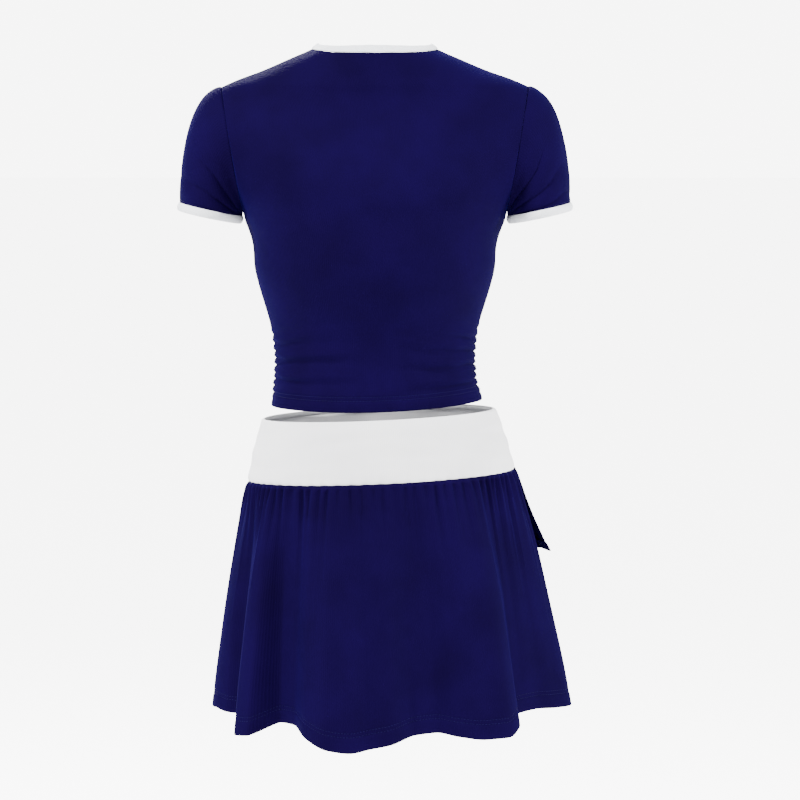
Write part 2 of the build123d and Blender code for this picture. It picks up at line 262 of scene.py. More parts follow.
@functools.lru_cache(None)
def neck_line(theta, side_in=0.0, front_in=0.0, side_up=0.0, back_up=0.0):
    """The height at which the neckline cuts the form, at one angle round the body."""
    if math.sin(theta) >= 0:
        z = neck_z
        for _ in range(4):
            y = torso_at(z)[1] * math.sin(theta)
            z = neck_z + side_up - (neck_drop_back + side_up - back_up) * y / neck_size[1]
        return z
    front_y = -chest_depth(neck_z - neck_drop_front)
    lean = math.atan2(neck_drop_front, -front_y)
    reach = math.hypot(neck_drop_front, front_y) - front_in
    half_width = neck_size[0] - side_in

    def outside(z):
        a, b = torso_at(z)
        x, y = a * math.cos(theta), b * math.sin(theta)
        forward = -y * math.cos(lean) - (z - neck_z) * math.sin(lean)
        return (x / half_width) ** 2 + (forward / reach) ** 2 > 1

    low, high = bust_z, neck_z + side_up
    for _ in range(22):
        middle = (low + high) / 2
        if outside(middle):
            low = middle
        else:
            high = middle
    return low


# ---------------------------------------------------------------- the worn form of the sleeves
def sleeve_frame(side, s):
    """Middle, long half, its direction and the half depth of the sleeve's oval at s, 0 armhole to 1 hem."""
    low_x, low_z = armhole_point(-1)
    high_x, high_z = armhole_point(1)
    width = (cuff_out[0] - low_x) / math.cos(cuff_tilt)
    hem_in = cuff_out[1] - width * math.sin(cuff_tilt)
    turn = min(max(s, 0.0), 1.0) * math.pi / 2
    out_x = high_x + (cuff_out[0] - high_x) * math.sin(turn)
    out_z = cuff_out[1] + (high_z - cuff_out[1]) * math.cos(turn)
    inner = Vector((side * (low_x + s * MM), 0, mix(low_z, hem_in, s)))
    outer = Vector((side * out_x, 0, out_z))
    along = (outer - inner).normalized()
    middle = (inner + outer) / 2 + Vector((tee_shift, 0, 0))
    return middle, (outer - inner).length / 2, along, mix(armhole_half_depth, cuff_half_depth, s)


def sleeve_relief(side, phi, s, x, z):
    """Folds that run from the sleeve's outer side in to the underarm, and a low head at the seam."""
    run, climb = abs(x - tee_shift) - 146 * MM, z - 222 * MM
    away = math.hypot(run, climb)
    angle = math.atan2(climb, max(run, 1e-6))
    rear = math.sin(phi)
    wander = noise.noise(Vector((away * 16, rear * 1.3, side * 3.0)))
    crease = 1 - abs(math.sin(angle * 9.5 + wander * 1.1 + side * 0.5 + (0.9 if rear < 0 else 0.0))) ** 0.55
    zone = ease((angle - 0.12) / 0.25) * ease((1.32 - angle) / 0.3)
    zone *= ease(away / (28 * MM))
    zone *= ease((118 * MM - away) / (60 * MM))
    relief = -3.0 * MM * crease * zone * ease(s * 9)
    unevenness = noise.noise(Vector((rear * 2.2, s * 3.1, 7.0 + side)))
    relief += 1.1 * MM * unevenness * ease(s * 5) * ease((1 - s) * 6)
    return relief - 0.7 * MM * bell(s, 0.0, 0.02)


def sleeve_point(side, phi, s, out=0.0, down=0.0):
    """phi runs round the arm from its outer side; down carries on past the hem."""
    middle, half, along, half_depth = sleeve_frame(side, s)
    axis = along.cross(Vector((0, 1, 0))) * -side
    plain = middle + along * (half * math.cos(phi))
    stand = out + sleeve_relief(side, phi, s, plain.x, plain.z)
    place = middle + along * ((half + stand) * math.cos(phi)) + axis * down
    return settled(place + Vector((0, (half_depth + stand) * math.sin(phi), 0)))


# ---------------------------------------------------------------- the worn form of the skirt
def rolled(x, y, z):
    return Vector((x * math.cos(roll) + z * math.sin(roll), y, z * math.cos(roll) - x * math.sin(roll)))


# Each fold of the skirt: degrees round the body from the wearer's left, over the back; how far the
# cloth stands out there at the hem; how far the hem is drawn up.  Millimetres.
skirt_folds = [
    (3, 5, 18), (12, -5, 14), (20, -22, 11), (26, -9, 4), (32, 10, -4), (38, 9, -3), (46, -23, 9),
    (53, -19, 8),
    (61, -1, -4), (70, 12, -15), (77, 13, -18), (83, 5, -15), (89, 8, -11), (98, -11, -4), (105, -12, -3),
    (112, 0, -8), (121, 9, -13), (128, 14, -13), (134, 6, -6), (142, -21, 5), (152, -17, 6), (164, -5, 3),
    (175, 6, 1), (189, -11, 4), (203, 13, -4), (217, -12, 5), (233, 14, -4), (247, -13, 5), (262, 10, -3),
    (276, -11, 4), (291, 14, -4), (306, -12, 4), (321, 13, -2), (335, -11, 5), (350, 8, 10),
]


def round_the_body(rows):
    before = [(angle - 360, out, lift) for angle, out, lift in rows[-4:]]
    after = [(angle + 360, out, lift) for angle, out, lift in rows[:4]]
    return through(before + rows + after)


fold_at = round_the_body(skirt_folds)


def gathers(theta, s):
    """The small pleats that the gathering thread leaves under the band, which open out on the way down."""
    down = s * skirt_length
    arc = theta * 0.132
    wander = noise.noise(Vector((math.cos(theta) * 6, math.sin(theta) * 6, 1.5)))
    side = 0.35 + 0.65 * abs(math.cos(theta)) ** 0.7
    fine = math.sin(2 * math.pi * arc / (10.5 * MM) + 4.5 * wander)
    wide = math.sin(2 * math.pi * arc / (27 * MM) + 3.2 * wander + 0.8 + s * 0.7)
    bite = ease(down / (7 * MM))
    fine_height = 2.4 * MM * math.exp(-down / (34 * MM)) * side
    wide_height = 4.2 * MM * math.exp(-down / (85 * MM)) * (0.45 + 0.55 * side) * ease(down / (26 * MM))
    pinch = 0.5 - abs(wide) ** 0.6 if wide < 0 else wide * 0.5
    return bite * (fine * fine_height + pinch * wide_height)


def skirt_point(theta, s, out=0.0, drop=0.0, lift_share=1.0):
    """theta round the body, s from 0 at the band's foot to 1 at the hem; drop lowers the point."""
    angle = math.degrees(theta) % 360
    fold, lift = fold_at(angle)
    puff = 4 * MM * math.sin(math.pi * min(s, 1.0))
    half_width = mix(band_foot[0], skirt_hem[0], s) + puff
    half_depth = mix(band_foot[1], skirt_hem[1], s) + puff
    normal = Vector((math.cos(theta) / half_width, math.sin(theta) / half_depth, 0)).normalized()
    sway = 1.2 * MM * noise.noise(Vector((math.cos(theta) * 3, math.sin(theta) * 3, s * 3)))
    stand = out + fold * MM * s ** 0.7 + gathers(theta, s) + sway * ease(s * 4)
    z = -band_height - s * skirt_length + lift * MM * s ** 1.6 * lift_share - drop
    return rolled(half_width * math.cos(theta) + normal.x * stand,
                  half_depth * math.sin(theta) + normal.y * stand, z)


def band_point(theta, up, out=0.0):
    """up runs from 0 at the band's foot to 1 at its top edge."""
    half_width = mix(band_foot[0], band_top[0], up)
    half_depth = mix(band_foot[1], band_top[1], up)
    normal = Vector((math.cos(theta) / half_width, math.sin(theta) / half_depth, 0)).normalized()
    crease = 1.5 * MM * noise.noise(Vector((math.cos(theta) * 2.2, math.sin(theta) * 2.2, up * 5.5)))
    pucker = 0.7 * MM * math.sin(theta * 0.132 * 2 * math.pi / (14 * MM))
    pucker *= math.exp(-up * band_height / (7 * MM))
    crown = 2.2 * MM * math.sin(math.pi * min(max(up, 0), 1)) ** 0.6
    stand = out + crease + pucker + crown
    z = -band_height * (1 - up)
    return rolled(half_width * math.cos(theta) + normal.x * stand,
                  half_depth * math.sin(theta) + normal.y * stand, z)


def tier_point(theta, t, out=0.0, drop=0.0):
    """The short front tier, t from 0 at the band to 1 at its own hem.  It hangs clear of the skirt."""
    right = (1 - math.cos(theta)) / 2
    stand = mix(1.6 * MM, mix(1.8, 14.0, right ** 2) * MM, t ** 2.2)
    own = 2.5 * MM * (1 + noise.noise(Vector((math.cos(theta) * 4.5, math.sin(theta) * 4.5, 3.3)))) * t
    return skirt_point(theta, t * tier_length / skirt_length, out + stand + own, drop, 3.0)


# ---------------------------------------------------------------- making cloth
def hemmed(path, turn):
    """Follows cloth that is turned up inside at its edge: path below 0 is on the turned side.
    Gives the height above the edge and how far inside the outer face the cloth lies."""
    radius = 1.25 * MM
    if path >= radius * 1.5:
        return path, 0.0
    if path <= -radius * 1.5:
        return min(-path, turn), -2 * radius
    bend = (1 - path / (radius * 1.5)) * math.pi / 2
    return radius * (1 - math.sin(bend)), -radius * (1 - math.cos(bend))


def hem_relief(up, turn):
    """Two plies below the twin rows, and a groove where each row bites."""
    groove = bell(up, turn, 1.3 * MM) + bell(up, turn + twin_gap, 1.3 * MM)
    return 0.35 * MM * ease((turn - up) / (3 * MM)) - 0.55 * MM * groove


def spread(sections):
    """Places along a path, close together where there is detail: (end, step) for each section."""
    places = [sections[0]]
    for end, step in sections[1:]:
        count = max(1, round((end - places[-1]) / step))
        start = places[-1]
        places += [mix(start, end, (i + 1) / count) for i in range(count)]
    return places


def finish_mesh(name, bm, material, thickness=0.0):
    mesh = bpy.data.meshes.new(name)
    bm.to_mesh(mesh)
    bm.free()
    piece = bpy.data.objects.new(name, mesh)
    bpy.context.scene.collection.objects.link(piece)
    mesh.materials.append(material)
    mesh.polygons.foreach_set("use_smooth", [True] * len(mesh.polygons))
    if thickness:
        wall = piece.modifiers.new("cloth", "SOLIDIFY")
        wall.thickness = thickness
        wall.offset = -1
    return piece


def settle(piece):
    """Makes the piece's modifiers part of its mesh."""
    depsgraph = bpy.context.evaluated_depsgraph_get()
    mesh = bpy.data.meshes.new_from_object(piece.evaluated_get(depsgraph))
    piece.modifiers.clear()
    piece.data = mesh
    return piece


def sheet_mesh(place, across, along, flat, middle, cut=None, closed=False):
    """A grid laid on a form by place(u, v), with u and v each a list of shares.  The UV map is the flat
    cloth in metres."""
    bm = bmesh.new()
    columns, rows = len(across) - 1, len(along) - 1
    bmesh.ops.create_grid(bm, x_segments=columns, y_segments=rows, size=0.5)
    layer = bm.loops.layers.uv.new("flat_cloth")
    spot = {}
    for vertex in bm.verts:
        u = across[round((vertex.co.x + 0.5) * columns)]
        v = along[round((vertex.co.y + 0.5) * rows)]
        spot[vertex] = (u, v)
    for face in bm.faces:
        for loop in face.loops:
            u, v = spot[loop.vert]
            share_u = (u - across[0]) / (across[-1] - across[0])
            share_v = (v - along[0]) / (along[-1] - along[0])
            loop[layer].uv = (share_u * flat[0], share_v * flat[1])
    for vertex, (u, v) in spot.items():
        vertex.co = place(u, v)
    if closed:
        bmesh.ops.remove_doubles(bm, verts=bm.verts, dist=0.01 * MM)
    if cut:
        cut(bm)
    bm.normal_update()
    outward = sum(face.normal.dot(face.calc_center_median() - middle) for face in bm.faces)
    if outward < 0:
        bmesh.ops.reverse_faces(bm, faces=bm.faces)
    return bm


def evenly(start, end, count):
    return [mix(start, end, i / count) for i in range(count + 1)]


def roll_mesh(place, across, section, flat):
    """A folded band: a grid closed both round the body and round the band's own section."""
    bm = bmesh.new()
    bmesh.ops.create_grid(bm, x_segments=across, y_segments=section, size=0.5)
    layer = bm.loops.layers.uv.new("flat_cloth")
    for face in bm.faces:
        for loop in face.loops:
            loop[layer].uv = ((loop.vert.co.x + 0.5) * flat[0], (loop.vert.co.y + 0.5) * flat[1])
    for vertex in bm.verts:
        vertex.co = place((vertex.co.x + 0.5), (vertex.co.y + 0.5))
    bmesh.ops.remove_doubles(bm, verts=bm.verts, dist=0.01 * MM)
    bmesh.ops.recalc_face_normals(bm, faces=bm.faces)
    return bm


def flat_section(q, width, thick):
    """Round the section of a folded band: share of its width, and how far off its middle layer."""
    turn = 2 * math.pi * q
    side = math.sin(turn)
    return (1 - math.cos(turn)) / 2 * width, math.copysign(abs(side) ** 0.45, side) * thick / 2


def one_stitch():
    """A lozenge of thread one unit long and wide, lying along X."""
    bm = bmesh.new()
    bmesh.ops.create_uvsphere(bm, u_segments=6, v_segments=5, radius=0.5,
                              matrix=Matrix.Rotation(math.pi / 2, 4, "Y"))
    mesh = bpy.data.meshes.new("one_stitch")
    bm.to_mesh(mesh)
    bm.free()
    return mesh


stitch_shape = one_stitch()


def sew(name, spots, material, length, width=0.55 * MM):
    """A row of single stitches laid along a seam."""
    bm = bmesh.new()
    size = Matrix.Diagonal((length, width, width, 1))
    for place, along, normal in spots:
        side = normal.cross(along).normalized()
        turn = Matrix((along.normalized(), side, normal.normalized())).transposed().to_4x4()
        stitch = stitch_shape.copy()
        stitch.transform(Matrix.Translation(place) @ turn @ size)
        bm.from_mesh(stitch)
        bpy.data.meshes.remove(stitch)
    return finish_mesh(name, bm, material)


def line_spots(point, start, end, pitch, stand=0.2 * MM):
    """Evenly spaced spots along a line on the cloth; point(t, out) gives the line and the cloth's face."""
    fine = 600
    places = [point(mix(start, end, i / fine), 0.0) for i in range(fine + 1)]
    run = [0.0]
    for a, b in zip(places, places[1:]):
        run.append(run[-1] + (b - a).length)
    count = int(run[-1] / pitch)
    spots = []
    for k in range(count):
        goal = (k + 0.5) * run[-1] / count
        i = min(max(bisect.bisect_right(run, goal) - 1, 0), fine - 1)
        t = mix(start, end, (i + (goal - run[i]) / (run[i + 1] - run[i])) / fine)
        here = point(t, stand)
        along = point(t + (end - start) * 0.001, stand) - here
        normal = point(t, stand + MM) - here
        normal -= along * (normal.dot(along) / along.length_squared)
        spots.append((here, along, normal))
    return spots


# ---------------------------------------------------------------- materials
def shade(code):
    """An sRGB hex code as linear light."""
    parts = [int(code[i:i + 2], 16) / 255 for i in (1, 3, 5)]
    return (*[p / 12.92 if p <= 0.04045 else ((p + 0.055) / 1.055) ** 2.4 for p in parts], 1.0)


def add_node(tree, kind, values=None, **settings):
    node = tree.nodes.new(kind)
    for key, value in settings.items():
        setattr(node, key, value)
    for key, value in (values or {}).items():
        if isinstance(value, bpy.types.NodeSocket):
            tree.links.new(value, node.inputs[key])
        else:
            node.inputs[key].default_value = value
    return node


def new_material(name, roughness, **surface):
    material = bpy.data.materials.new(name)
    material.use_nodes = True
    shader = material.node_tree.nodes["Principled BSDF"]
    shader.inputs["Roughness"].default_value = roughness
    for key, value in surface.items():
        shader.inputs[key.replace("_", " ")].default_value = value
    return material, material.node_tree, shader


def knit(name, light, dark, roughness, wale, depth, sheen=0.0, sheen_tint="#ffffff", across=0, wear=0.5,
         gloss=0.2, crease=0.75):
    """Knitted cloth.  Rows of loops run along the cloth, broad soft patches take more or less light, and
    hollows are darkened with painted shade."""
    material, tree, shader = new_material(name, roughness, Sheen_Weight=sheen, Sheen_Roughness=0.45,
                                          Sheen_Tint=shade(sheen_tint), Specular_IOR_Level=gloss)
    place = add_node(tree, "ShaderNodeTexCoord")
    patches = add_node(tree, "ShaderNodeTexNoise",
                       {"Vector": place.outputs["Object"], "Scale": 16.0, "Detail": 3.0})
    tone = add_node(tree, "ShaderNodeMapRange",
                    {"Value": patches.outputs["Fac"], "From Min": 0.3, "From Max": 0.7,
                     "To Min": 0.5 - wear / 2, "To Max": 0.5 + wear / 2})
    # the colour pair of a Mix node's inputs are numbers 6 and 7, and its colour output is number 2
    colour = add_node(tree, "ShaderNodeMix", {0: tone.outputs["Result"], 6: shade(dark), 7: shade(light)},
                      data_type="RGBA")
    shape = add_node(tree, "ShaderNodeNewGeometry")
    # Painted shade in the hollows: where the mesh's pointiness shows a crease, the colour is darkened, down
    # to crease times itself.
    painted_crease_shade = add_node(tree, "ShaderNodeMapRange",
                      {"Value": shape.outputs["Pointiness"], "From Min": 0.4, "From Max": 0.495,
                       "To Min": crease, "To Max": 1.0})
    crease_shaded_colour = add_node(tree, "ShaderNodeVectorMath", {0: colour.outputs[2], "Scale": painted_crease_shade.outputs["Result"]},
                    operation="SCALE")
    tree.links.new(crease_shaded_colour.outputs["Vector"], shader.inputs["Base Color"])
    flat = add_node(tree, "ShaderNodeUVMap", uv_map="flat_cloth")
    split = add_node(tree, "ShaderNodeSeparateXYZ", {"Vector": flat.outputs["UV"]})
    run = add_node(tree, "ShaderNodeMath", {0: split.outputs[across], 1: 2 * math.pi / wale},
                   operation="MULTIPLY")
    wave = add_node(tree, "ShaderNodeMath", {0: run.outputs[0]}, operation="SINE")
    fuzz = add_node(tree, "ShaderNodeTexNoise",
                    {"Vector": place.outputs["Object"], "Scale": 420.0, "Detail": 2.0})
    height = add_node(tree, "ShaderNodeMath", {0: fuzz.outputs["Fac"], 1: 0.6, 2: wave.outputs[0]},
                      operation="MULTIPLY_ADD")
    bump = add_node(tree, "ShaderNodeBump",
                    {"Height": height.outputs[0], "Strength": depth, "Distance": 0.3 * MM})
    tree.links.new(bump.outputs["Normal"], shader.inputs["Normal"])
    return material


# Navy cotton and elastane single jersey: matt, deep blue with a violet lift where the light grazes it.
# Its wales, 0.9 mm apart on real cloth, are drawn 2.4 mm apart so that they still read from afar.
# Its hollows take strong painted shade: crease=0.2 darkens them to a fifth of their colour.
navy = knit("navy_jersey", "#0b0129", "#080120", 0.75, 2.4 * MM, 0.25, 0.12, "#261aa0", wear=0.8, gloss=0.01,
            crease=0.2)
# The doubled white jersey of the waistband: matt, thick and a little uneven.
white = knit("white_jersey", "#eeeeef", "#e2e2e6", 0.8, 2.0 * MM, 0.18, 0.1, "#ffffff")
# White one by one rib of the bindings: fine upright ribs across the band.
rib = knit("white_rib", "#eef0f4", "#dfe3ea", 0.82, 1.7 * MM, 0.6, 0.1, "#ffffff")
# Woven cotton stay tape, with a fine twill line.
tape = knit("stay_tape", "#0d0530", "#0a0428", 0.85, 1.0 * MM, 0.5, gloss=0.02)
# Covered elastic: pale, with cords running along it.
elastic = knit("elastic", "#e6e6e4", "#d6d6d6", 0.75, 1.2 * MM, 0.8, across=1)
# Polyester thread: the same navy, smoother, so that each stitch takes a small glint.
navy_thread, tree, shader = new_material("navy_thread", 0.5, Specular_IOR_Level=0.05)
shader.inputs["Base Color"].default_value = shade("#110838")
white_thread, tree, shader = new_material("white_thread", 0.5, Specular_IOR_Level=0.45)
shader.inputs["Base Color"].default_value = shade("#e9ecf1")
# Blank satin labels: a close weave with a soft gloss along one way.
satin, tree, shader = new_material("label_satin", 0.38, Anisotropic=0.5, Specular_IOR_Level=0.5)
shader.inputs["Base Color"].default_value = shade("#f1f1ef")


# ---------------------------------------------------------------- the tee
def height_by_run():
    """How the height grows along the cloth at the tee's side, and the other way round."""
    walk = []
    for step in range(401):
        z = mix(hem_z, neck_z + 10 * MM, step / 400)
        here = Vector((torso_at(z)[0], z))
        walk.append((walk[-1][0] + (here - walk[-1][1]).length, here) if walk else (0.0, here))
    return through([(run, here.y) for run, here in walk]), through([(here.y, run) for run, here in walk])


run_to_z, z_to_run = height_by_run()
hem_paths = spread([-(hem_turn + 1 * MM), (-3 * MM, 2.5 * MM), (3 * MM, 0.45 * MM), (20 * MM, 1.1 * MM)])
tee_rows = spread([0.0, (0.17, 0.0028), (0.86, 0.0085), (1.0, 0.004)])[1:]


def tee_panel_place(theta, v):
    """v below 0 is the hem's path in metres less one; from 0 to 1 it runs on up to the neck seam."""
    if v < 0:
        up, inside = hemmed(v + 1, hem_turn)
        return torso_point(theta, hem_z + up, inside + hem_relief(up, hem_turn))
    top = z_to_run(neck_line(theta))[0]
    run = mix(z_to_run(hem_z + 20 * MM)[0], top, v)
    z = run_to_z(run)[0]
    groove = -0.8 * MM * bell(top - run, 0.0, 1.6 * MM)
    seam = -0.9 * MM * bell(abs(math.sin(theta)) * torso_at(z)[1], 0.0, 1.4 * MM)
    return torso_point(theta, z, groove + seam + hem_relief(z - hem_z, hem_turn))


def cut_armholes(bm):
    low_x, low_z = armhole_point(-1)
    high_x, high_z = armhole_point(1)
    for side in (1, -1):
        lean = math.atan2(high_x - low_x, high_z - low_z)
        normal = Vector((side * math.cos(lean), 0, -math.sin(lean)))
        middle = Vector((tee_shift + side * low_x, 0, low_z))
        bm.normal_update()
        faces = [f for f in bm.faces if f.calc_center_median().z > low_z - 12 * MM
                 and f.calc_center_median().x * side > 0]
        edges = {e for f in faces for e in f.edges}
        verts = {v for f in faces for v in f.verts}
        bmesh.ops.bisect_plane(bm, geom=[*faces, *edges, *verts], plane_co=middle, plane_no=normal,
                               dist=0.02 * MM, clear_outer=True)


def column_angles(start, end):
    """Angles that crowd a little towards the side seams, where the ruching is."""
    angles = []
    count = 170
    for i in range(count + 1):
        share = i / count
        angles.append(start + (end - start) * (share - 0.045 * math.sin(2 * math.pi * share)))
    return angles


for node, start, flat in (("top_back_panel", 0.0, (0.42, 0.45)), ("top_front_panel", math.pi, (0.45, 0.42))):
    rows = [path - 1 for path in hem_paths] + tee_rows
    bm = sheet_mesh(tee_panel_place, column_angles(start, start + math.pi), rows, flat,
                    Vector((tee_shift, 0, 0.2)), cut_armholes)
    panel = finish_mesh("tee_" + node[4:], bm, navy, jersey)
    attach(panel, "top")
    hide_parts(node)


# ---------------------------------------------------------------- bindings, sleeves and cuffs
band_in = (0.9 * binding_width, 0.85 * binding_width, 0.67 * binding_width, 0.95 * binding_width)


@functools.lru_cache(None)
def neck_band_edges(theta):
    """The neck seam and the band's free edge, at one angle."""
    theta = theta % (2 * math.pi)
    return torso_point(theta, neck_line(theta)), torso_point(theta, neck_line(theta, *band_in))


def neck_band_point(u, up, stand):
    """A point of the folded rib band: up from its seam, and off its middle layer."""
    theta = 2 * math.pi * u
    seam, edge = neck_band_edges(theta)
    ahead, behind = neck_band_edges(theta + 0.012)[0], neck_band_edges(theta - 0.012)[0]
    across = (edge - seam).normalized()
    normal = (ahead - behind).normalized().cross(across).normalized()
    if normal.z < 0:
        normal.negate()
    wave = 0.25 * MM * noise.noise(Vector((math.cos(theta) * 5, math.sin(theta) * 5, 0.7)))
    return seam + across * (up - 0.6 * MM) + normal * (stand + 0.35 * MM + wave)


def neck_band_place(u, q):
    return neck_band_point(u, *flat_section(q, binding_width, rib_thick))


def neck_seam_line(t, out):
    seam, edge = neck_band_edges(t)
    return seam + (seam - edge).normalized() * 2.2 * MM + Vector((0, 0, 0.25 * MM + out))


tack = sew("neck_bar_tack", line_spots(neck_seam_line, math.radians(53), math.radians(53.6), 0.3 * MM)[:2],
           white_thread, 3.2 * MM)
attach(tack, "top")

neck_band = finish_mesh("neck_binding_rib", roll_mesh(neck_band_place, 300, 20, (0.44, 0.036)), rib)
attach(neck_band, "top")
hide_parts("neck_binding")

for side, name in ((1, "left"), (-1, "right")):
    def sleeve_place(phi, s):
        return sleeve_point(side, phi, s, 0.2 * MM)

    rounds = evenly(0.0, 2 * math.pi, 150)
    lengths = spread([-0.004, (0.12, 0.008), (0.9, 0.016), (1.0, 0.01)])
    bm = sheet_mesh(sleeve_place, rounds, lengths, (0.32, 0.155),
                    Vector((tee_shift + side * 0.185, 0, 0.29)), closed=True)
    cloth = settle(finish_mesh(name + "_sleeve_cloth", bm, navy, jersey))
    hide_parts(name + "_sleeve")

    def cuff_place(u, q):
        up, stand = flat_section(q, binding_width + 0.5 * MM, rib_thick)
        flare = 0.5 * MM + 1.2 * MM * math.sin(math.pi * min(up / binding_width, 1.0))
        return sleeve_point(side, 2 * math.pi * u, 1.0, flare - 0.6 * MM + stand, up - 1.0 * MM)

    cuff = finish_mesh(name + "_cuff_rib", roll_mesh(cuff_place, 180, 18, (0.25, 0.036)), rib)
    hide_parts(name + "_cuff_binding")

    def cuff_line(t, out):
        return sleeve_point(side, t, 0.985, 0.35 * MM + out)

    thread = sew(name + "_cuff_stitches", line_spots(cuff_line, 0.0, 2 * math.pi, stitch_pitch), navy_thread,
                 2.6 * MM)
    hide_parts(name + "_cuff_stitching")
    for piece in (cloth, cuff, thread):
        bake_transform(piece)


# ---------------------------------------------------------------- trim of the tee
def top_hem_line(up):
    return lambda t, out: torso_point(t, hem_z + up, hem_relief(up, hem_turn) + out)


spots = []
for up in (hem_turn, hem_turn + twin_gap):
    spots += line_spots(top_hem_line(up), 0.0, 2 * math.pi, stitch_pitch)
hem_thread = sew("tee_hem_stitches", spots, navy_thread, 2.7 * MM)
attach(hem_thread, "top")
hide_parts("top_hem_stitching")

tape_top = neck_z - neck_drop_back - 2 * MM
tape_span = (math.radians(40), math.radians(140))


def tape_place(theta, v):
    z = tape_top - 9 * MM * (1 - v)
    return torso_point(theta, z, -jersey - 0.7 * MM, relief=False)


bm = sheet_mesh(tape_place, evenly(*tape_span, 60), evenly(0, 1, 8), (0.1, 0.009),
                Vector((tee_shift, 0, 0.4)))
neck_tape = finish_mesh("back_neck_stay_tape", bm, tape, 0.7 * MM)
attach(neck_tape, "top")
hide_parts("back_neck_tape")

for side, name in ((1, "left"), (-1, "right")):
    middle = 0.0 if side > 0 else math.pi

    def shoulder_place(across, v):
        z = mix(shoulder_z + 16 * MM, shoulder_z + 27 * MM, v)
        half_depth = torso_at(z)[1]
        theta = middle + side * math.asin(across * 4 * MM / half_depth)
        return torso_point(theta, z, -jersey - 1.4 * MM, relief=False)

    bm = sheet_mesh(shoulder_place, evenly(-1, 1, 4), evenly(0, 1, 14), (0.008, 0.05),
                    Vector((tee_shift, 0, 0.3)))
    strip = finish_mesh(name + "_shoulder_stay_tape", bm, tape, 0.7 * MM)
    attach(strip, "top")
    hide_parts(name + "_shoulder_tape")

    def elastic_place(across, v):
        z = hem_z + 2 * MM + v * 78 * MM
        theta = middle + side * across * 3 * MM / torso_at(z)[1]
        return torso_point(theta, z, -jersey - 2.8 * MM)

    bm = sheet_mesh(elastic_place, evenly(-1, 1, 6), evenly(0, 1, 60), (0.006, 0.09),
                    Vector((tee_shift, 0, 0.06)))
    cord = finish_mesh(name + "_side_elastic", bm, elastic, 0.8 * MM)
    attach(cord, "top")
    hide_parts(name + "_gather_elastic")


def label_mesh(name, width, drop, back_y, top, middle_x):
    """A blank satin label with a slight curl."""

    def place(u, v):
        curl = 0.25 * MM * math.sin(math.pi * v) * (1 + 0.6 * u)
        return Vector((middle_x + u * width / 2, back_y - curl, top - drop * (1 - v)))

    bm = sheet_mesh(place, evenly(-1, 1, 10), evenly(0, 1, 14), (width, drop), Vector((middle_x, 1.0, top)))
    piece = finish_mesh(name, bm, satin, 0.45 * MM)
    return piece


low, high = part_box("size_label")
size_label = label_mesh("blank_size_label", high.x - low.x, high.z - low.z, low.y + 0.1 * MM, high.z,
                        (low.x + high.x) / 2)
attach(size_label, "size_label")
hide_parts("size_label")

# ---------------------------------------------------------------- the waistband
band_paths = spread([0.0, (6 * MM, 1.0 * MM), (60 * MM, 3.5 * MM), (68 * MM, 1.6 * MM), (75 * MM, 0.55 * MM),
                     (82 * MM, 1.8 * MM)])


def band_outer_place(theta, path):
    """The outer ply runs up from the seam, rolls over the band's top edge and ends inside."""
    radius = 1.9 * MM
    straight = band_height - radius
    seam = -0.7 * MM * bell(abs(math.sin(theta)) * band_foot[1], 0.0, 1.2 * MM)
    if path <= straight:
        return band_point(theta, path / band_height, seam - 0.9 * MM * bell(path, 0.0, 2.2 * MM))
    turn = min((path - straight) / radius, math.pi)
    down = max(path - straight - math.pi * radius, 0.0)
    up = (straight + radius * math.sin(turn) - down) / band_height
    return band_point(theta, up, seam - radius * (1 - math.cos(turn)))


for node, start in (("waistband_back", 0.0), ("waistband_front", math.pi)):
    bm = sheet_mesh(band_outer_place, evenly(start, start + math.pi, 220), band_paths, (0.405, 0.082),
                    Vector((0, 0, -0.035)))
    ply = finish_mesh(node + "_ply", bm, white, band_cloth)
    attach(ply, "skirt")
    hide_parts(node)


def band_ring_place(inset):
    def place(theta, path):
        return band_point(theta, path / band_height, -inset)

    return place


bm = sheet_mesh(band_ring_place(4.2 * MM), evenly(0, 2 * math.pi, 200), spread([0.2 * MM, (64 * MM, 4 * MM)]),
                (0.78, 0.064), Vector((0, 0, -0.035)), closed=True)
facing = finish_mesh("waistband_facing_ply", bm, white, band_cloth)
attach(facing, "skirt")
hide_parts("waistband_facing")

bm = sheet_mesh(band_ring_place(2.5 * MM), evenly(0, 2 * math.pi, 200), spread([38 * MM, (66 * MM, 4 * MM)]),
                (0.72, 0.028), Vector((0, 0, -0.02)), closed=True)
inner_elastic = finish_mesh("waist_elastic_band", bm, elastic, 0.9 * MM)
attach(inner_elastic, "skirt")
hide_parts("waist_elastic")

# ---------------------------------------------------------------- the skirt and its tier
skirt_paths = spread([-(skirt_hem_turn + 1 * MM), (-3 * MM, 3 * MM), (3 * MM, 0.5 * MM), (24 * MM, 1.3 * MM)])
skirt_rows = spread([24 * MM, (190 * MM, 4.2 * MM), (250 * MM, 2.4 * MM), (skirt_length, 1.0 * MM)])[1:]


def skirt_place(theta, path):
    """path runs up the cloth from the hem's edge; below 0 it is turned up inside."""
    up, inside = hemmed(path, skirt_hem_turn)
    side_seam = -1.1 * MM * bell(abs(math.sin(theta)) * mix(band_foot[1], skirt_hem[1], 0.5), 0.0, 1.6 * MM)
    tuck = -1.2 * MM * ease((up - skirt_length + 4 * MM) / (4 * MM))
    return skirt_point(theta, 1 - up / skirt_length,
                       inside + hem_relief(up, skirt_hem_turn) + side_seam + tuck)


for node, start in (("skirt_back_panel", 0.0), ("skirt_front_panel", math.pi)):
    bm = sheet_mesh(skirt_place, evenly(start, start + math.pi, 330), skirt_paths + skirt_rows, (0.58, 0.292),
                    Vector((0, 0, -0.2)))
    panel = finish_mesh(node + "_cloth", bm, navy, jersey)
    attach(panel, "skirt")
    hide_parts(node)

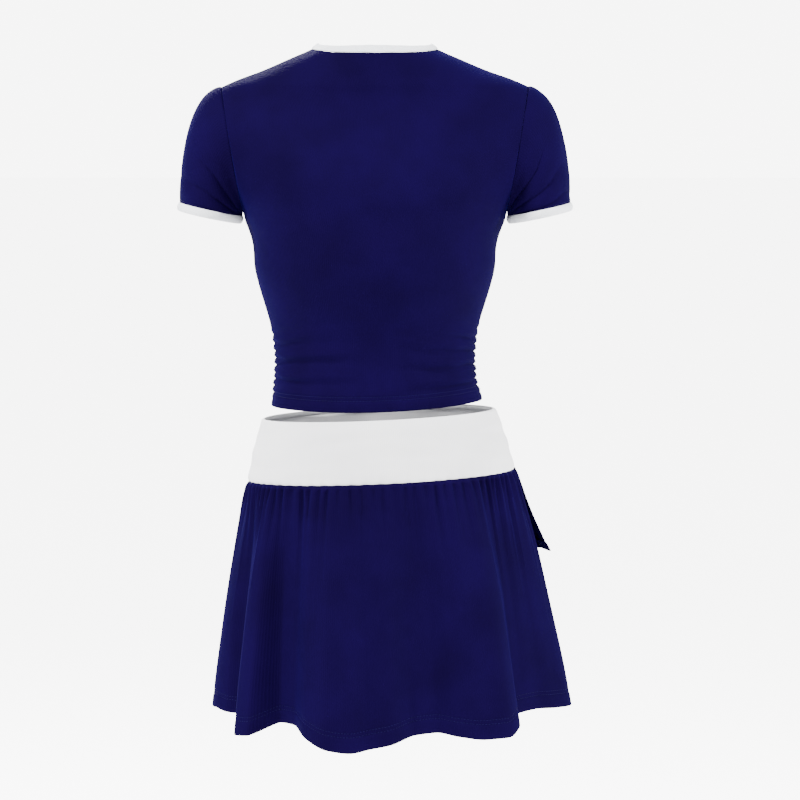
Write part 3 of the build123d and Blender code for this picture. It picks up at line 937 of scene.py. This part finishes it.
tier_start, tier_end = math.radians(179), math.radians(341)
tier_paths = spread([-(tier_hem_turn + 1 * MM), (-3 * MM, 3 * MM), (3 * MM, 0.5 * MM), (19 * MM, 1.4 * MM),
                     (80 * MM, 2.6 * MM), (tier_length, 1.1 * MM)])


def tier_place(theta, path):
    up, inside = hemmed(path, tier_hem_turn)
    return tier_point(theta, 1 - up / tier_length, inside + hem_relief(up, tier_hem_turn))


bm = sheet_mesh(tier_place, evenly(tier_start, tier_end, 300), tier_paths, (0.56, 0.111),
                Vector((0, 0, -0.12)))
tier = finish_mesh("front_tier_cloth", bm, navy, jersey)
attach(tier, "skirt")
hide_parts("front_tier")


def skirt_hem_line(up):
    return lambda t, out: skirt_point(t, 1 - up / skirt_length, hem_relief(up, skirt_hem_turn) + out)


def tier_hem_line(up):
    return lambda t, out: tier_point(t, 1 - up / tier_length, hem_relief(up, tier_hem_turn) + out)


spots = []
for up in (skirt_hem_turn, skirt_hem_turn + twin_gap):
    spots += line_spots(skirt_hem_line(up), 0.0, 2 * math.pi, stitch_pitch)
skirt_thread = sew("skirt_hem_stitches", spots, navy_thread, 2.7 * MM)
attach(skirt_thread, "skirt")
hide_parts("skirt_hem_stitching")
spots = []
for up in (tier_hem_turn, tier_hem_turn + twin_gap):
    spots += line_spots(tier_hem_line(up), tier_start + 0.01, tier_end - 0.01, stitch_pitch)
tier_thread = sew("tier_hem_stitches", spots, navy_thread, 2.7 * MM)
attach(tier_thread, "skirt")
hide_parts("tier_hem_stitching")


def seam_tape_place(theta, up):
    return skirt_point(theta, (10 * MM - up) / skirt_length, -jersey - 3.6 * MM)


bm = sheet_mesh(seam_tape_place, evenly(0, 2 * math.pi, 240), spread([0.0, (9 * MM, 1.5 * MM)]),
                (0.83, 0.009), Vector((0, 0, -0.07)), closed=True)
seam_tape = finish_mesh("waist_seam_stay_tape", bm, tape, 0.7 * MM)
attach(seam_tape, "skirt")
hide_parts("waist_seam_tape")

low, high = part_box("care_label")
care_label = label_mesh("blank_care_label", 30 * MM, 42 * MM, 106.3 * MM, high.z - 0.4 * MM,
                        (low.x + high.x) / 2)
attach(care_label, "care_label")
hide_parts("care_label")

# ---------------------------------------------------------------- the plain studio
bpy.ops.mesh.primitive_plane_add(size=80, location=(0, 0, -0.9))
floor = bpy.context.object
floor.name = "studio_floor"
floor_paint, tree, shader = new_material("studio_floor_paint", 0.9)
shader.inputs["Base Color"].default_value = shade("#fbfbfb")
floor.data.materials.append(floor_paint)

def seen_brightness(tree, seen, given):
    """One strength for what the camera sees and a lower one for the light that is given off."""
    ray = add_node(tree, "ShaderNodeLightPath")
    return add_node(tree, "ShaderNodeMapRange", {"Value": ray.outputs["Is Camera Ray"], "To Min": given,
                                                 "To Max": seen}).outputs["Result"]


# The pale room fills the shadows a little, and shows behind the cloth as an even light grey.
world = bpy.data.worlds.new("studio")
world.use_nodes = True
tree = world.node_tree
tree.nodes["Background"].inputs["Color"].default_value = (1.0, 1.0, 1.0, 1.0)
tree.links.new(seen_brightness(tree, 7.5, 1.5), tree.nodes["Background"].inputs["Strength"])
bpy.context.scene.world = world
shader.inputs["Emission Color"].default_value = (1.0, 1.0, 1.0, 1.0)
tree = floor_paint.node_tree
tree.links.new(seen_brightness(tree, 5.5, 0.0), shader.inputs["Emission Strength"])


def aim(thing, target):
    thing.rotation_euler = (Vector(target) - thing.location).to_track_quat("-Z", "Y").to_euler()


def soft_light(name, place, target, size, watts):
    data = bpy.data.lights.new(name, "AREA")
    data.shape = "DISK"
    data.size = size
    data.energy = watts
    lamp = bpy.data.objects.new(name, data)
    bpy.context.scene.collection.objects.link(lamp)
    lamp.location = place
    aim(lamp, target)


soft_light("high_left_light", (2.4, 1.5, 2.9), (0, 0, 0.1), 0.8, 430)
soft_light("right_light", (-2.9, 0.9, 1.1), (0, 0, 0.0), 0.9, 200)
soft_light("front_light", (0.8, -2.6, 1.8), (0, 0, 0.0), 1.2, 170)

camera_data = bpy.data.cameras.new("camera")
camera_data.lens = 178
camera_data.sensor_width = 36
camera = bpy.data.objects.new("camera", camera_data)
bpy.context.scene.collection.objects.link(camera)
camera.location = (-0.0245, 4.5, 0.4)
aim(camera, (-0.0245, 0.0, 0.015))
bpy.context.scene.camera = camera
